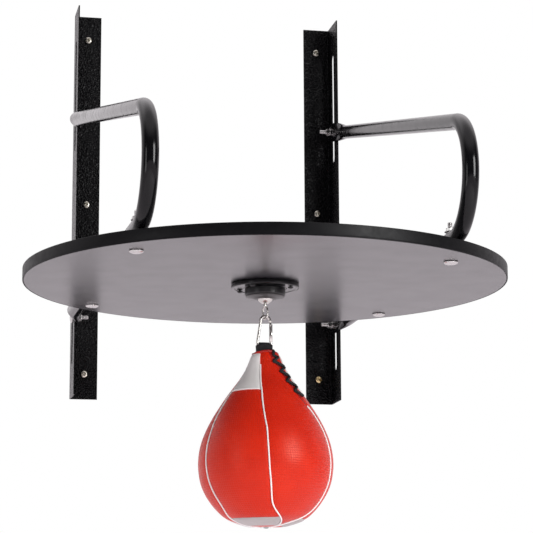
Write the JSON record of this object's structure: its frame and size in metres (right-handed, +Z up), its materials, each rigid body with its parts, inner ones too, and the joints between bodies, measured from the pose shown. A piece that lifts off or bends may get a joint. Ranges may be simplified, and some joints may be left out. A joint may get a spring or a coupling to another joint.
{
  "type": "speed bag platform",
  "caption": "Wall-mounted round rebound board on bent tube arms and slotted angle uprights, with a ball swivel, spring clip and hanging teardrop striking bag.",
  "frame": {"origin": "on the wall plane, midway between the two uprights, at half their height", "axes": "+Z up, +Y into the wall (the board stands out towards -Y), +X to the right seen from the room"},
  "size_m": [0.61, 0.8109, 0.7985],
  "materials": {
    "hammered_powder_coat": "black hammered powder coat, semi-gloss",
    "wall_screw_steel": "yellow-passivated steel, satin",
    "gloss_black_paint": "smooth gloss black",
    "zinc_hardware": "bright zinc plating",
    "black_laminate": "black satin laminate on fibreboard",
    "black_edging": "black satin edge banding",
    "swivel_cap_steel": "grey satin",
    "nylon": "natural nylon",
    "bright_plated_steel": "bright nickel plating",
    "red_leather": "semi-gloss, finely embossed",
    "grey_leather": "warm light grey, semi-gloss",
    "white_piping": "white vinyl piping",
    "black_lace": "braided black cord",
    "black_webbing": "woven black webbing",
    "bladder_rubber": "black rubber",
    "valve_rubber": "black rubber"
  },
  "bodies": {
    "uprights": {"left_upright": "hammered_powder_coat", "left_bottom_wall_screw": "wall_screw_steel", "left_middle_wall_screw": "wall_screw_steel", "left_top_wall_screw": "wall_screw_steel", "right_upright": "hammered_powder_coat", "right_bottom_wall_screw": "wall_screw_steel", "right_middle_wall_screw": "wall_screw_steel", "right_top_wall_screw": "wall_screw_steel"},
    "carriage": {"left_arm": "gloss_black_paint", "left_upper_arm_bolt": "zinc_hardware", "left_upper_arm_washer": "zinc_hardware", "left_upper_arm_nut": "zinc_hardware", "left_lower_arm_bolt": "zinc_hardware", "left_lower_arm_washer": "zinc_hardware", "left_lower_arm_nut": "zinc_hardware", "left_front_board_bolt": "zinc_hardware", "left_front_board_nut": "zinc_hardware", "left_rear_board_bolt": "zinc_hardware", "left_rear_board_nut": "zinc_hardware", "right_arm": "gloss_black_paint", "right_upper_arm_bolt": "zinc_hardware", "right_upper_arm_washer": "zinc_hardware", "right_upper_arm_nut": "zinc_hardware", "right_lower_arm_bolt": "zinc_hardware", "right_lower_arm_washer": "zinc_hardware", "right_lower_arm_nut": "zinc_hardware", "right_front_board_bolt": "zinc_hardware", "right_front_board_nut": "zinc_hardware", "right_rear_board_bolt": "zinc_hardware", "right_rear_board_nut": "zinc_hardware", "board_disc": "black_laminate", "board_edge_band": "black_edging", "swivel_flange": "gloss_black_paint", "swivel_screw_1": "gloss_black_paint", "swivel_screw_2": "gloss_black_paint", "swivel_screw_3": "gloss_black_paint", "swivel_screw_4": "gloss_black_paint", "swivel_housing": "gloss_black_paint", "swivel_cap": "swivel_cap_steel"},
    "bearing": {"swivel_bearing_seat": "nylon"},
    "ball": {"swivel_ball": "bright_plated_steel", "swivel_eye": "bright_plated_steel"},
    "clip": {"clip_body": "bright_plated_steel", "clip_rivet": "bright_plated_steel"},
    "gate": {"clip_gate": "bright_plated_steel", "clip_gate_spring": "bright_plated_steel"},
    "bag": {"bag_cover": "red_leather", "bag_bladder": "bladder_rubber", "bag_loop": "black_webbing", "bag_valve": "valve_rubber", "bag_lace": "black_lace", "bag_piping": "white_piping", "bag_shoulder_patch_1": "grey_leather", "bag_shoulder_patch_2": "grey_leather", "bag_shoulder_patch_3": "grey_leather", "bag_bottom_patch_1": "grey_leather", "bag_bottom_patch_2": "grey_leather", "bag_bottom_patch_3": "grey_leather"}
  },
  "joints": [
    {"name": "height_adjust", "type": "slide", "parent": "uprights", "child": "carriage", "axis": [0, 0, 1], "range_m": [-0.044, 0.095]},
    {"name": "bearing_spin", "type": "hinge", "parent": "carriage", "child": "bearing", "pos_m": [0, -0.472, -0.2154], "axis": [0, 0, 1], "continuous": true},
    {"name": "ball_tilt", "type": "hinge", "parent": "bearing", "child": "ball", "pos_m": [0, -0.472, -0.2154], "axis": [1, 0, 0], "range_deg": [-45, 45]},
    {"name": "clip_swing", "type": "hinge", "parent": "ball", "child": "clip", "pos_m": [0, -0.472, -0.24485], "axis": [-0.4226, 0.9063, 0], "range_deg": [-30, 30]},
    {"name": "gate_open", "type": "hinge", "parent": "clip", "child": "gate", "pos_m": [0.0065, -0.472, -0.2529], "axis": [0, 1, 0], "range_deg": [0, 22], "stiffness_Nm_per_rad": 0.15, "springref_deg": -11.46},
    {"name": "bag_swing", "type": "hinge", "parent": "clip", "child": "bag", "pos_m": [0, -0.472, -0.2786], "axis": [1, 0, 0], "range_deg": [-20, 20]}
  ]
}
